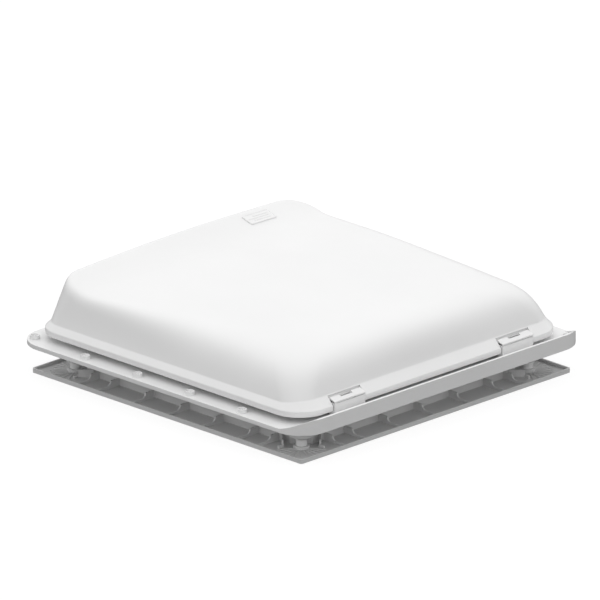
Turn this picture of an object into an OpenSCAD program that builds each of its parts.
// Deck hatch for a 280 x 280 mm opening: screwed outer frame, clamping inner frame,
// hinged domed lid, hand winder with a lift arm, and an insect screen.
// Millimetres. Z = 0 is the roof plane under the outer flange, +Y is the hinge side.

/* [Outer frame] */
// Side length of the square outer flange
flange_w = 330; // [328:1:334]
// Corner radius of the outer flange
flange_r = 25.7; // [22:0.1:28]
// Thickness of the outer flange
flange_t = 3.8; // [3:0.1:4.5]
// Height of the rain lip on the hinge side, above the roof
lip_h = 13; // [10:0.5:13.5]
// Thickness of the rain lip
lip_t = 2.2; // [2:0.1:3]
// Half width of the neck that passes through the roof, outside
neck_half = 127.3; // [127:0.1:127.4]
// Wall thickness of the neck
neck_t = 2; // [1.6:0.1:2.4]
// Height of the raised edge round the opening, above the roof
coaming_h = 7.4; // [7:0.1:7.6]

/* [Inner frame] */
// Side length of the inner clamping frame
inner_w = 309.4; // [306:0.1:312]
// Depth of the inner frame's lowest face below the roof plane
inner_bottom = 25.7; // [25.2:0.1:27]
// Half width of the inner frame's collar, outside
collar_half = 129.3; // [129.2:0.1:130]
// Distance from the centre to the ribs' locating edges
rib_reach = 139; // [138:0.1:139.5]
// Spacing of the ribs along each side
rib_pitch = 40; // [38:1:41]

/* [Lid] */
// Half width of the lid's rim
lid_half = 153.3; // [152:0.1:154]
// Distance from the centre to the rim's opening edge
lid_front = 154.3; // [153:0.1:155]
// Distance from the centre to the rim's hinge edge
lid_back = 151.4; // [151:0.1:152]
// Height of the rim's lower edge above the roof
lid_z = 9.2; // [9:0.1:9.6]
// Height of the lid's top at the sides
top_z = 48.8; // [47:0.1:52]
// Extra height along the lid's centre line
crown = 3.2; // [1:0.1:4]
// Extra height of the lid's gentle arch from front to back
arch = 2.6; // [1:0.1:3]
// Slope of the raised band at the opening edge
flare = 0.375; // [0:0.005:0.4]
// Wall thickness of the lid
lid_t = 2.4; // [2:0.1:3]

/* [Hinge] */
// Distance from the centre to the hinge axis
hinge_y = 149; // [148.8:0.1:149.2]
// Height of the hinge axis above the roof
hinge_z = 12; // [11.9:0.1:12.1]
// Distance from the centre to the middle of each hinge
hinge_x = 96.4; // [90:0.1:98]
// Diameter of the hinge pins
pin_d = 4; // [3.6:0.1:4]

/* [Winder] */
// Opening angle of the lid
lid_open = 45; // [30:1:45]
// Length of the lift arm between its axes
arm_len = 120; // [116:1:124]
// Teeth on the full circle of the arm's gear
gear_teeth = 24; // [24:1:24]
// Diameter of the winder knob
knob_d = 38; // [34:1:40]

/* [Hidden] */
$fn = 48;
eps = 0.01;
white = [0.93, 0.93, 0.92];
grey = [0.5, 0.5, 0.5];
steel = [0.72, 0.73, 0.75];
black = [0.12, 0.12, 0.13];

// Outer frame
flange_half = flange_w / 2;
arc_c = flange_half - flange_r;
neck_cut = 243;
neck_bottom = -23.9;
post_xy = 129.5;
post_r = 4.65;
post_bottom = -21.4;
boss_r = 10.4;
boss_bottom = -13;
boss_taper = 3.5;
boss_cut = 246.6;
screw_side = 158;
screw_corner = 153;
screw_corner_back = 152.2;
screw_back = 155.5;
shank_r = 2.1;
shank_neck = 1.8;
head_r = 4.5;
head_h = 3;

// Hinge
block_w = 35.2;
block_in = 146;
block_out = 152.45;
block_top = 15.4;
notch_w = 37.2;
notch_y = 144;
notch_top = 20.8;
cap_under = 17.3;
cap_ledge = 17.7;
cap_rear = 19.5;
cap_front = 17.15;
cap_skirt = 15.75;
cap_notch_w = 13.2;
cap_notch_d = 3.6;
slot_w = 14.6;
knuckle_w = 13.6;
knuckle_r = 2.8;

// Inner frame
rim_top = -21.85;
floor_top = 1.5 - inner_bottom;
collar_cut = 245.6;
collar_t = 1.5;
rib_top = -17.8;
rib_w = 1.6;
fan_w = 0.8;
fan_h = 0.5;

// Winder: arm pivot, worm axis and the lift arm's angle at rest
pivot_y = 113;
pivot_z = 7;
arm_rest = 9;
arm_ratio = 1.25;
gear_r = 18;
tooth_h = 1;
worm_pitch = 2 * PI * gear_r / gear_teeth;
worm_r = 5;
worm_offset = 1.3;
worm_y = pivot_y - gear_r - worm_r - 0.8;
worm_z0 = -1;
worm_len = 16;
shaft_r = 3;
roller_r = 4;
roller_gap = 0.35;
panel_front = 58;
panel_z = -24.1;

// Outlines -------------------------------------------------------------

module rounded_square(hx, hy, r) {
    square([2 * hx, 2 * (hy - r)], center = true);
    square([2 * (hx - r), 2 * hy], center = true);
    for (sx = [-1, 1], sy = [-1, 1])
        translate([sx * (hx - r), sy * (hy - r)]) circle(r = r, $fn = 64);
}

// Square of half width h whose corners are cut off at |x| + |y| = cut
module octagon(h, cut) {
    k = cut - h;
    polygon([[h, -k], [h, k], [k, h], [-k, h], [-h, k], [-h, -k], [-k, -h], [k, -h]]);
}

module octagon_ring(h, cut, t, z0, z1) {
    translate([0, 0, z0]) linear_extrude(z1 - z0) difference() {
        octagon(h, cut);
        octagon(h - t, cut - t * sqrt(2));
    }
}

module four_corners() {
    for (sx = [-1, 1], sy = [-1, 1]) translate([sx * post_xy, sy * post_xy, 0]) children();
}

// A bar along X between x0 and x1
module x_rod(r, x0, x1, y, z) {
    translate([x0, y, z]) rotate([0, 90, 0]) cylinder(r = r, h = x1 - x0);
}

// A flat plate in the Y-Z plane, x0 to x1 thick
module yz_plate(x0, x1) {
    translate([x0, 0, 0]) rotate([90, 0, 90]) linear_extrude(x1 - x0) children();
}

// Lid surface ------------------------------------------------------------
// The lid is a loft of matching outlines: rim, dome base, wall and top edge.

arc_n = 8;
side_n = 10;
wall_ref = 32;
roll_side = 1.25;
roll_back = 0.8;
knee_pull = 0.78;
base_z = 18.8;
base_z_back = 21.3;
bend_n = 7;

function mix(a, b, t) = a + (b - a) * t;
function smooth(t) = let (c = max(0, min(1, t))) c * c * (3 - 2 * c);

// Height of the lid's top surface: crowned across, arched lengthwise, and raised in a
// band at the opening edge that starts at flare_y and blends in over flare_blend
crown_half = 136;
arch_y = 30;
arch_half = 110;
flare_y = -112;
flare_blend = 8;
function top_height(x, y) =
    let (d = flare_y - y)
    top_z + crown * (1 - pow(x / crown_half, 2)) + arch * (1 - pow((y - arch_y) / arch_half, 2))
    + flare * (sqrt(d * d + flare_blend * flare_blend) + d) / 2;

// Outline with its own corner radii at the opening side (rf) and the hinge side (rb);
// xb is the half width at the hinge side, and the sides curve between the two
function corner(cx, cy, r, a0) =
    [for (i = [0:arc_n]) let (a = a0 + 90 * i / arc_n) [cx + r * cos(a), cy + r * sin(a)]];
function side(p, q, bow) =
    [for (i = [1:side_n - 1]) let (t = i / side_n)
        [mix(p[0], q[0], bow == 1 ? t : pow(t, bow)), mix(p[1], q[1], t)]];
function side_back(p, q, bow) =
    [for (i = [1:side_n - 1]) let (t = i / side_n)
        [mix(q[0], p[0], bow == 1 ? 1 - t : pow(1 - t, bow)), mix(p[1], q[1], t)]];
function outline(xf, xb, yf, yb, rf, rb, bow = 1) =
    let (
        c0 = corner(xb - rb, yb - rb, rb, 0),
        c1 = corner(-xb + rb, yb - rb, rb, 90),
        c2 = corner(-xf + rf, -yf + rf, rf, 180),
        c3 = corner(xf - rf, -yf + rf, rf, 270)
    )
    concat(c0, side(c0[arc_n], c1[0], 1), c1, side_back(c1[arc_n], c2[0], bow),
        c2, side(c2[arc_n], c3[0], 1), c3, side(c3[arc_n], c0[0], bow));

function lid_base(t) = outline(lid_half - 4.8 - t, lid_half - 4.8 - t,
    lid_front - 4.8 - t, lid_back - 7.2 - t, 18, 21.8);
function lid_wall(t) = outline(lid_half - 13.4 - t, lid_half - 13.4 - t,
    lid_front - 8.8 - t, lid_back - 15.8 - t, 25, 34);
function lid_edge(t) = outline(lid_half - 20 - t, lid_half - 50, lid_front - 18 - t,
    lid_back - 46, 17, 20, 1.5);

function with_z(ring, z) = [for (p = ring) [p[0], p[1], z]];
function base_height(y) = mix(base_z, base_z_back, smooth((y - 122) / 22));

// One profile point: s runs 0 at the dome base to 1 at the top edge
function bezier(a, b, c, d, t) =
    a * pow(1 - t, 3) + b * 3 * t * pow(1 - t, 2) + c * 3 * t * t * (1 - t) + d * pow(t, 3);
function bend_ring(t, step) =
    let (b = lid_base(t), w = lid_wall(t), e = lid_edge(t))
    [for (i = [0:len(b) - 1])
        let (
            zb = base_height(b[i][1]) - t * 0.6,
            zt = top_height(w[i][0], w[i][1]) - t,
            lean = (w[i] - b[i]) / wall_ref,
            knee = [b[i][0] + lean[0] * (zt - zb), b[i][1] + lean[1] * (zt - zb), zt],
            top = [e[i][0], e[i][1], top_height(e[i][0], e[i][1]) - t],
            reach = norm([top[0] - knee[0], top[1] - knee[1]]),
            roll = mix(roll_side, roll_back, smooth((b[i][1] - 100) / 45)),
            drop = min(roll * reach, 0.93 * (zt - zb)),
            foot = [b[i][0], b[i][1], zb],
            start = knee + (foot - knee) * drop / (zt - zb)
        )
        step < 0 ? mix(foot, start, (step + 2) / 2)
            : bezier(start, mix(start, knee, knee_pull), mix(top, knee, knee_pull), top,
                step / bend_n)];

// Rings inside the top edge shrink to the middle
function top_ring(t, f) =
    [for (p = lid_edge(t)) let (x = p[0] * f, y = mix(-8, p[1], f)) [x, y, top_height(x, y) - t]];

function lid_skin(t) = concat(
    [with_z(outline(lid_half - t, lid_half - t, lid_front - t, lid_back - t,
        23 - t / 2, 26.6 - t / 2), lid_z)],
    [with_z(outline(lid_half - t, lid_half - t, lid_front - t, lid_back - t,
        23 - t / 2, 26.6 - t / 2), lid_z + 4.8 - t * 0.4)],
    [for (i = [-2:bend_n]) bend_ring(t, i)],
    [for (f = [0.86, 0.7, 0.52, 0.34, 0.16]) top_ring(t, f)]);

// Closed solid between the outer and the inner skin
module lid_loft() {
    outer = lid_skin(0);
    inner = lid_skin(lid_t);
    n = len(outer[0]);
    m = len(outer);
    count = n * m;
    rings = concat(outer, [for (i = [m - 1:-1:0]) inner[i]]);
    apex = [[0, -8, top_height(0, -8)], [0, -8, top_height(0, -8) - lid_t]];
    points = concat([for (r = outer) for (p = r) p], [for (r = inner) for (p = r) p], apex);
    function quad(a, b, i, j) = [[a + i, b + i, a + j], [a + j, b + i, b + j]];
    faces = concat(
        [for (r = [0:m - 2], i = [0:n - 1]) let (j = (i + 1) % n)
            each quad(r * n, (r + 1) * n, i, j)],
        [for (r = [0:m - 2], i = [0:n - 1]) let (j = (i + 1) % n)
            each quad(count + (r + 1) * n, count + r * n, i, j)],
        [for (i = [0:n - 1]) let (j = (i + 1) % n) each quad(count, 0, i, j)],
        [for (i = [0:n - 1]) let (j = (i + 1) % n) [(m - 1) * n + i, 2 * count, (m - 1) * n + j]],
        [for (i = [0:n - 1]) let (j = (i + 1) % n)
            [count + (m - 1) * n + j, 2 * count + 1, count + (m - 1) * n + i]]);
    polyhedron(points = points, faces = faces, convexity = 6);
}

// Outer frame --------------------------------------------------------------

// The lip runs down to the flange round each corner, in a curved ramp along Y
module lip_corner() {
    rise = lip_h - flange_t + eps;
    translate([arc_c, arc_c, flange_t - eps]) intersection() {
        difference() {
            cylinder(r = flange_r, h = rise, $fn = 96);
            translate([0, 0, -1]) cylinder(r = flange_r - lip_t, h = lip_h + 2, $fn = 96);
        }
        yz_plate(0, flange_r + 1) polygon(concat([[0, 0]],
            [for (i = [1:12]) [(flange_r - lip_t) * i / 12, rise * pow(i / 12, 1.3)]],
            [[flange_r + 1, rise], [flange_r + 1, 0]]));
    }
}

module hinge_block(x) {
    difference() {
        translate([x - block_w / 2, block_in, flange_t - eps])
            cube([block_w, block_out - block_in, block_top - flange_t + eps]);
        translate([x - slot_w / 2, block_in - 1, flange_t]) cube([slot_w, 6.9, 20]);
        x_rod(pin_d / 2 + 0.03, x - 17, x + 17, hinge_y, hinge_z);
    }
}

module side_screw_places() {
    for (s = [-1, 1], p = [-90, -30, 30, 90]) translate([s * screw_side, p, 0]) children();
    for (p = [-90, -30, 30, 90]) translate([p, -screw_side, 0]) children();
    for (p = [-62, -24, 24, 62]) translate([p, screw_back, 0]) children();
}

module corner_screw_places() {
    for (s = [-1, 1]) {
        translate([s * screw_corner, -screw_corner, 0]) children();
        translate([s * screw_corner_back, screw_corner_back, 0]) children();
    }
}

// Posts for the clamp screws, wide at the flange and flat beside the inner frame's collar
module corner_posts() difference() {
    four_corners() {
        translate([0, 0, post_bottom]) cylinder(r = post_r, h = -post_bottom + eps);
        translate([0, 0, boss_bottom]) cylinder(r = boss_r, h = -boss_bottom + eps);
        translate([0, 0, boss_bottom - boss_taper])
            cylinder(r1 = post_r, r2 = boss_r, h = boss_taper + eps);
    }
    translate([0, 0, -30]) linear_extrude(40) octagon(flange_half, boss_cut);
}

module outer_frame() color(white) difference() {
    union() {
        linear_extrude(flange_t) rounded_square(flange_half, flange_half, flange_r);
        translate([-arc_c, flange_half - lip_t, flange_t - eps])
            cube([2 * arc_c, lip_t, lip_h - flange_t + eps]);
        lip_corner();
        mirror([1, 0, 0]) lip_corner();
        translate([0, 0, neck_bottom]) linear_extrude(coaming_h - neck_bottom)
            octagon(neck_half, neck_cut);
        corner_posts();
        hinge_block(-hinge_x);
        hinge_block(hinge_x);
    }
    translate([0, 0, neck_bottom - 1]) linear_extrude(60)
        octagon(neck_half - neck_t, neck_cut - neck_t * sqrt(2));
    four_corners() translate([0, 0, post_bottom - 1]) cylinder(r = 1.9, h = 14);
    side_screw_places() translate([0, 0, -1]) cylinder(r = shank_r + 0.15, h = 8);
    corner_screw_places() translate([0, 0, -1]) cylinder(r = shank_r + 0.15, h = 8);
    for (x = [-20, 20], z = [-14, 0]) translate([x, 120, z]) rotate([-90, 0, 0])
        cylinder(r = 1.6, h = 10);
}

// Sloping covers on the lid, over the hinge blocks
module hinge_caps() color(white) for (s = [-1, 1]) difference() {
    yz_plate(s * hinge_x - block_w / 2, s * hinge_x + block_w / 2) polygon([
        [notch_y + eps, cap_under - 0.1], [notch_y + eps, cap_ledge], [block_in, cap_ledge],
        [block_in, cap_rear], [block_out, cap_front], [block_out, cap_skirt],
        [block_out - 1.25, cap_skirt + 1.15], [hinge_y, cap_under], [block_in, cap_under]]);
    translate([s * hinge_x - cap_notch_w / 2, block_in - 1, cap_under - 1])
        cube([cap_notch_w, cap_notch_d, 5]);
}

module hinge_pins() color(steel) for (s = [-1, 1])
    x_rod(pin_d / 2, s * hinge_x - 16.5, s * hinge_x + 16.5, hinge_y, hinge_z);

module coaming_seal() color(black) difference() {
    octagon_ring(neck_half + 2.2, neck_cut + 4, 6.4, 5.2, 9);
    octagon_ring(neck_half + 0.1, neck_cut + 0.2, neck_t + 0.2, 5, coaming_h + 0.1);
}

module pan_screw() {
    difference() {
        union() {
            translate([0, 0, flange_t + 0.02]) cylinder(r1 = head_r, r2 = head_r - 0.5, h = head_h);
            translate([0, 0, -2.2]) cylinder(r = shank_r, h = 2.2);
            translate([0, 0, -eps]) cylinder(r = shank_neck, h = flange_t + 1);
        }
        translate([0, 0, flange_t + head_h - 1.2]) cylinder(r = 3.1, h = 2);
        for (a = [0, 90]) rotate([0, 0, a]) translate([-2.2, -0.5, flange_t + head_h - 2.2])
            cube([4.4, 1, 3]);
    }
}

module flange_corner_screws() color(white) corner_screw_places() pan_screw();
module flange_side_screws() color(white) side_screw_places() pan_screw();

// Inner frame ----------------------------------------------------------------

module rib(reach = rib_reach) {
    rotate([90, 0, 0]) translate([0, 0, -rib_w / 2]) linear_extrude(rib_w) polygon(concat(
        [[collar_half - 0.5, floor_top - 0.3], [collar_half - 0.5, rib_top], [reach, rib_top]],
        [for (i = [0:6]) let (a = 15 * i)
            [reach + 4 * (1 - cos(a)), rib_top + (rim_top - rib_top) * sin(a)]],
        [[inner_w / 2 - 1, rim_top], [inner_w / 2 - 1, floor_top - 0.3]]));
}

module corner_pocket() {
    for (m = [0, 1]) mirror([m, -m, 0]) {
        translate([rib_reach, 117.4, floor_top - eps]) rotate([0, 0, 225])
            translate([0, -rib_w / 2, 0]) cube([13, rib_w, rib_top - floor_top]);
        translate([rib_reach - 1, 117.4 - rib_w / 2, floor_top - eps])
            cube([6, rib_w, rim_top - floor_top]);
    }
    translate([post_xy, post_xy, floor_top - eps]) {
        cylinder(r = 6.8, h = post_bottom - floor_top + eps);
        for (a = [-30:15:120]) rotate([0, 0, a]) translate([6, -fan_w / 2, 0])
            cube([15, fan_w, fan_h]);
    }
}

module inner_frame() color(grey) difference() {
    union() {
        translate([0, 0, -inner_bottom]) linear_extrude(floor_top + inner_bottom)
            rounded_square(inner_w / 2, inner_w / 2, 2);
        translate([0, 0, -inner_bottom]) linear_extrude(rim_top + inner_bottom) difference() {
            rounded_square(inner_w / 2, inner_w / 2, 2);
            rounded_square(inner_w / 2 - 1.5, inner_w / 2 - 1.5, 1);
        }
        octagon_ring(collar_half, collar_cut, collar_t, -inner_bottom, -8);
        for (a = [0:90:270]) rotate([0, 0, a]) {
            for (i = [-2:2]) translate([0, i * rib_pitch, 0]) rib();
            for (s = [-1, 1]) translate([0, s * 103, 0]) rib();
            corner_pocket();
        }
    }
    translate([0, 0, -inner_bottom - 1]) linear_extrude(20) octagon(122.5, 236);
    four_corners() {
        translate([0, 0, -inner_bottom - 1]) cylinder(r = 5, h = 3.6);
        translate([0, 0, -inner_bottom - 1]) cylinder(r = 2.3, h = 20);
    }
}

module clamp_screws() color(steel) four_corners() {
    difference() {
        translate([0, 0, -25.3]) cylinder(r = 4.2, h = 2.1);
        for (a = [0, 90]) rotate([0, 0, a]) translate([-2.2, -0.5, -26]) cube([4.4, 1, 1.7]);
    }
    translate([0, 0, -23.3]) cylinder(r = 1.85, h = 12);
}

// Winder -----------------------------------------------------------------------

module winder_housing() color(white) difference() {
    union() {
        translate([-26, 122.9, -20]) cube([52, 2.3, 24.8]);
        for (x = [-16, 13.5]) yz_plate(x, x + 2.5) polygon([[78, -10.5], [78, -3], [98, 4],
            [106.5, 11], [113, 13.5], [117.5, 11.5], [123, 4.8], [123, -10.5]]);
        translate([-16, 78, -10.5]) cube([32, 22, 2.5]);
        translate([0, worm_y, -10.5]) cylinder(r = 6, h = 7.3);
    }
    x_rod(2.54, -20, 20, pivot_y, pivot_z);
    translate([0, worm_y, -12]) cylinder(r = shaft_r + 0.05, h = 20);
    for (x = [-20, 20], z = [-14, 0]) translate([x, 115, z]) rotate([-90, 0, 0])
        cylinder(r = 1.6, h = 15);
    panel_screw_places() translate([0, 0, -12]) cylinder(r = 1.45, h = 10);
}

module panel_screw_places() {
    for (s = [-1, 1]) translate([s * 12, worm_y - 5.5, 0]) children();
}

module housing_screws() color(steel) for (x = [-20, 20], z = [-14, 0])
    translate([x, 0, z]) rotate([-90, 0, 0]) {
        translate([0, 0, 121.2]) cylinder(r = 3, h = 1.65);
        translate([0, 0, 122.8]) cylinder(r = 1.5, h = 4.4);
    }

module winder_panel() color(white) difference() {
    union() {
        translate([0, 0, panel_z]) linear_extrude(1.6) intersection() {
            octagon(124.9, 238.5);
            translate([-150, panel_front]) square([300, 100]);
        }
        translate([0, worm_y, panel_z]) cylinder(r = 27.5, h = 13.4, $fn = 96);
    }
    translate([0, worm_y, panel_z - 1]) cylinder(r = 26, h = 12.9, $fn = 96);
    translate([0, worm_y, panel_z]) cylinder(r = shaft_r + 0.5, h = 20);
    panel_screw_places() translate([0, 0, -20]) cylinder(r = 1.6, h = 20);
    for (s = [-1, 1]) translate([s * 70, panel_front + 6, -30]) cylinder(r = 1.55, h = 20);
}

module panel_screws() color(steel) panel_screw_places() {
    translate([0, 0, -13.4]) cylinder(r = 2.8, h = 1.15);
    translate([0, 0, -12.3]) cylinder(r = 1.4, h = 4.2);
}

module worm_shaft() color(steel) {
    translate([0, worm_y, -21]) cylinder(r = shaft_r, h = 21 + worm_z0 - 2.15);
    translate([0, worm_y, worm_z0 - 2.15]) cylinder(r = 5, h = 2.2);
    translate([0, worm_y, worm_z0]) rotate([0, 0, -90 - 360 * (pivot_z - worm_z0) / worm_pitch])
        linear_extrude(worm_len, twist = -360 * worm_len / worm_pitch, slices = 48)
            translate([worm_offset, 0]) circle(r = worm_r, $fn = 24);
}

module winder_knob() color(white) translate([0, worm_y, 0]) difference() {
    union() {
        translate([0, 0, -25.4]) cylinder(r = knob_d / 2 - 4, h = 11.3);
        translate([0, 0, -25.4]) for (a = [0:45:315]) rotate([0, 0, a])
            translate([knob_d / 2 - 4.5, 0, 0]) cylinder(r = 4.5, h = 9);
    }
    translate([0, 0, -21.05]) cylinder(r = shaft_r + 0.03, h = 10);
    translate([0, 0, -26]) cylinder(r = 5, h = 3);
    translate([0, 0, -26]) cylinder(r = 1.6, h = 8);
}

module knob_screw() color(steel) translate([0, worm_y, 0]) {
    difference() {
        translate([0, 0, -25]) cylinder(r = 4, h = 1.95);
        translate([-2.5, -0.5, -25.5]) cube([5, 1, 1.5]);
    }
    translate([0, 0, -23.2]) cylinder(r = 1.5, h = 2.1);
}

module arm_axle() color(steel) x_rod(2.5, -17.5, 17.5, pivot_y, pivot_z);

// Toothed sector below the opening side of the pivot; teeth are rounded waves
module gear_sector() color(white) difference() {
    union() {
        yz_plate(-3, 3) polygon(concat([[pivot_y, pivot_z]],
            [for (a = [-7.5:2.5:67.5]) let (r = gear_r + tooth_h * cos(gear_teeth * a))
                [pivot_y - r * cos(a), pivot_z - r * sin(a)]]));
        x_rod(5, -8.3, 8.3, pivot_y, pivot_z);
    }
    x_rod(2.52, -20, 20, pivot_y, pivot_z);
}

// The arm lies along -Y, raised by its angle at rest
module in_arm() {
    translate([0, pivot_y, pivot_z]) rotate([-arm_rest, 0, 0]) children();
}

module lift_arm() color(steel) in_arm() difference() {
    union() {
        for (x = [-11.5, 8.5]) {
            translate([x, -arm_len, -4.5]) cube([3, arm_len, 9]);
            x_rod(7, x, x + 3, 0, 0);
            x_rod(5.5, x, x + 3, -arm_len, 0);
        }
        translate([-9, -66, -2]) cube([18, 10, 4]);
    }
    x_rod(2.52, -20, 20, 0, 0);
    x_rod(2.02, -20, 20, -arm_len, 0);
}

module roller_pin() color(steel) in_arm() {
    x_rod(2, -18.4, 18.4, -arm_len, 0);
    for (x = [-19.4, 18.3]) x_rod(3, x, x + 1.1, -arm_len, 0);
}

module arm_rollers() color(black) in_arm() for (x = [-18.1, 12.1]) difference() {
    x_rod(roller_r, x, x + 6, -arm_len, 0);
    x_rod(2.06, x - 1, x + 7, -arm_len, 0);
}

// Lid ------------------------------------------------------------------------

module lid_notch(x) {
    translate([x - notch_w / 2, notch_y, lid_z - 1])
        cube([notch_w, 20, notch_top - lid_z + 1]);
}

module lid_shell() color(white) difference() {
    lid_loft();
    lid_notch(-hinge_x);
    lid_notch(hinge_x);
}

// Walls that close the lid behind and beside a hinge notch
module notch_walls(x) {
    wall_in = notch_y - 2;
    wall_out = notch_y - 0.1;
    for (x0 = [x - notch_w / 2 - 1.5, x + notch_w / 2]) yz_plate(x0, x0 + 1.5) polygon([
        [wall_in, 11.5], [148.6, 11.5], [148.6, 13], [wall_out, 17.7], [wall_in, 17.7]]);
    yz_plate(x - notch_w / 2 - 1, x + notch_w / 2 + 1) polygon([
        [wall_in, 11.5], [wall_out, 11.5], [wall_out, 17.7], [wall_in, 17.7]]);
}

module lid_frame() color(white) difference() {
    union() {
        translate([0, 0, lid_z]) linear_extrude(2.4) difference() {
            translate([0, (lid_back - lid_front) / 2]) rounded_square(lid_half - lid_t - 0.2,
                (lid_back + lid_front) / 2 - lid_t - 0.2, 26);
            octagon(121.5, 232);
            for (s = [-1, 1]) translate([s * hinge_x - notch_w / 2, notch_y - 0.1])
                square([notch_w, 20]);
        }
        for (s = [-1, 1]) {
            notch_walls(s * hinge_x);
            translate([s * hinge_x - knuckle_w / 2, 136, lid_z])
                cube([knuckle_w, hinge_y - 136, 3.3]);
            x_rod(knuckle_r, s * hinge_x - knuckle_w / 2, s * hinge_x + knuckle_w / 2,
                hinge_y, hinge_z);
        }
    }
    for (s = [-1, 1]) x_rod(pin_d / 2 + 0.05, s * hinge_x - 20, s * hinge_x + 20,
        hinge_y, hinge_z);
}

// Centre of the roller in the lid's own frame when the lid is open by angle a
function roller_path(a) =
    let (
        f = arm_rest + arm_ratio * a,
        y = pivot_y - arm_len * cos(f) - hinge_y,
        z = pivot_z + arm_len * sin(f) - hinge_z
    )
    [hinge_y + y * cos(a) - z * sin(a), hinge_z + y * sin(a) + z * cos(a)];
function path_normal(a) =
    let (d = roller_path(a + 1) - roller_path(a - 1))
    [-d[1], d[0]] / norm(d);

module roller_slot() {
    h = roller_r + roller_gap;
    steps = [0:lid_open / 12:lid_open + eps];
    up = [for (a = steps) roller_path(a) + path_normal(a) * h];
    down = [for (a = steps) roller_path(a) - path_normal(a) * h];
    polygon(concat(up, [for (i = [len(down) - 1:-1:0]) down[i]]));
    for (a = [0, lid_open]) translate(roller_path(a)) circle(r = h);
}

module lift_rail() color(steel) {
    yz_plate(-24, 24) polygon([[-30, 48.4], [38, 48.4], [38, 50.6], [-30, 50.6]]);
    for (x = [-17.5, 15]) yz_plate(x, x + 2.5) difference() {
        polygon([[-26, 48.5], [-16, 22], [-12, 17.5], [22, 17.5], [26, 22], [34, 48.5]]);
        roller_slot();
    }
}

module badge_plate() color(white) {
    x = -80;
    y = -128.5;
    tilt_y = top_height(x, y + 0.5) - top_height(x, y - 0.5);
    tilt_x = top_height(x + 0.5, y) - top_height(x - 0.5, y);
    translate([x, y, top_height(x, y) + 0.12]) rotate([atan(tilt_y), -atan(tilt_x), 0])
        linear_extrude(1) rounded_square(14.5, 6.5, 1.5);
}

// Screen ------------------------------------------------------------------------

module screen_outline(inset) {
    intersection() {
        octagon(124.9 - inset, 238.5 - inset * sqrt(2));
        translate([-150, -150]) square([300, 150 + panel_front - 0.4 - inset]);
    }
}

module screen_frame() color(white) translate([0, 0, panel_z]) linear_extrude(4) difference() {
    screen_outline(0);
    screen_outline(9);
}

module insect_mesh() color(grey) translate([0, 0, panel_z + 4.02]) linear_extrude(0.5)
    screen_outline(5);

module catch(s) color(white) translate([s * 70, panel_front + 6, -25.5]) difference() {
    union() {
        cylinder(r = 6, h = 1.3);
        translate([-4, -14, 0]) cube([8, 14, 1.3]);
    }
    translate([0, 0, -1]) cylinder(r = 1.56, h = 4);
    translate([0, 0, -1]) cylinder(r = 2.8, h = 1.65);
}
module screen_catch_left() catch(-1);
module screen_catch_right() catch(1);

module catch_rivets() color(steel) for (s = [-1, 1]) translate([s * 70, panel_front + 6, 0]) {
    translate([0, 0, -25.5]) cylinder(r = 2.6, h = 0.55);
    translate([0, 0, -25]) cylinder(r = 1.5, h = 2.6);
    translate([0, 0, -22.45]) cylinder(r = 2.8, h = 0.8);
}

outer_frame();
hinge_caps();
hinge_pins();
coaming_seal();
flange_corner_screws();
flange_side_screws();
inner_frame();
clamp_screws();
winder_housing();
housing_screws();
winder_panel();
panel_screws();
screen_frame();
insect_mesh();
screen_catch_left();
screen_catch_right();
catch_rivets();
worm_shaft();
winder_knob();
knob_screw();
arm_axle();
gear_sector();
lift_arm();
roller_pin();
arm_rollers();
lid_shell();
lid_frame();
lift_rail();
badge_plate();
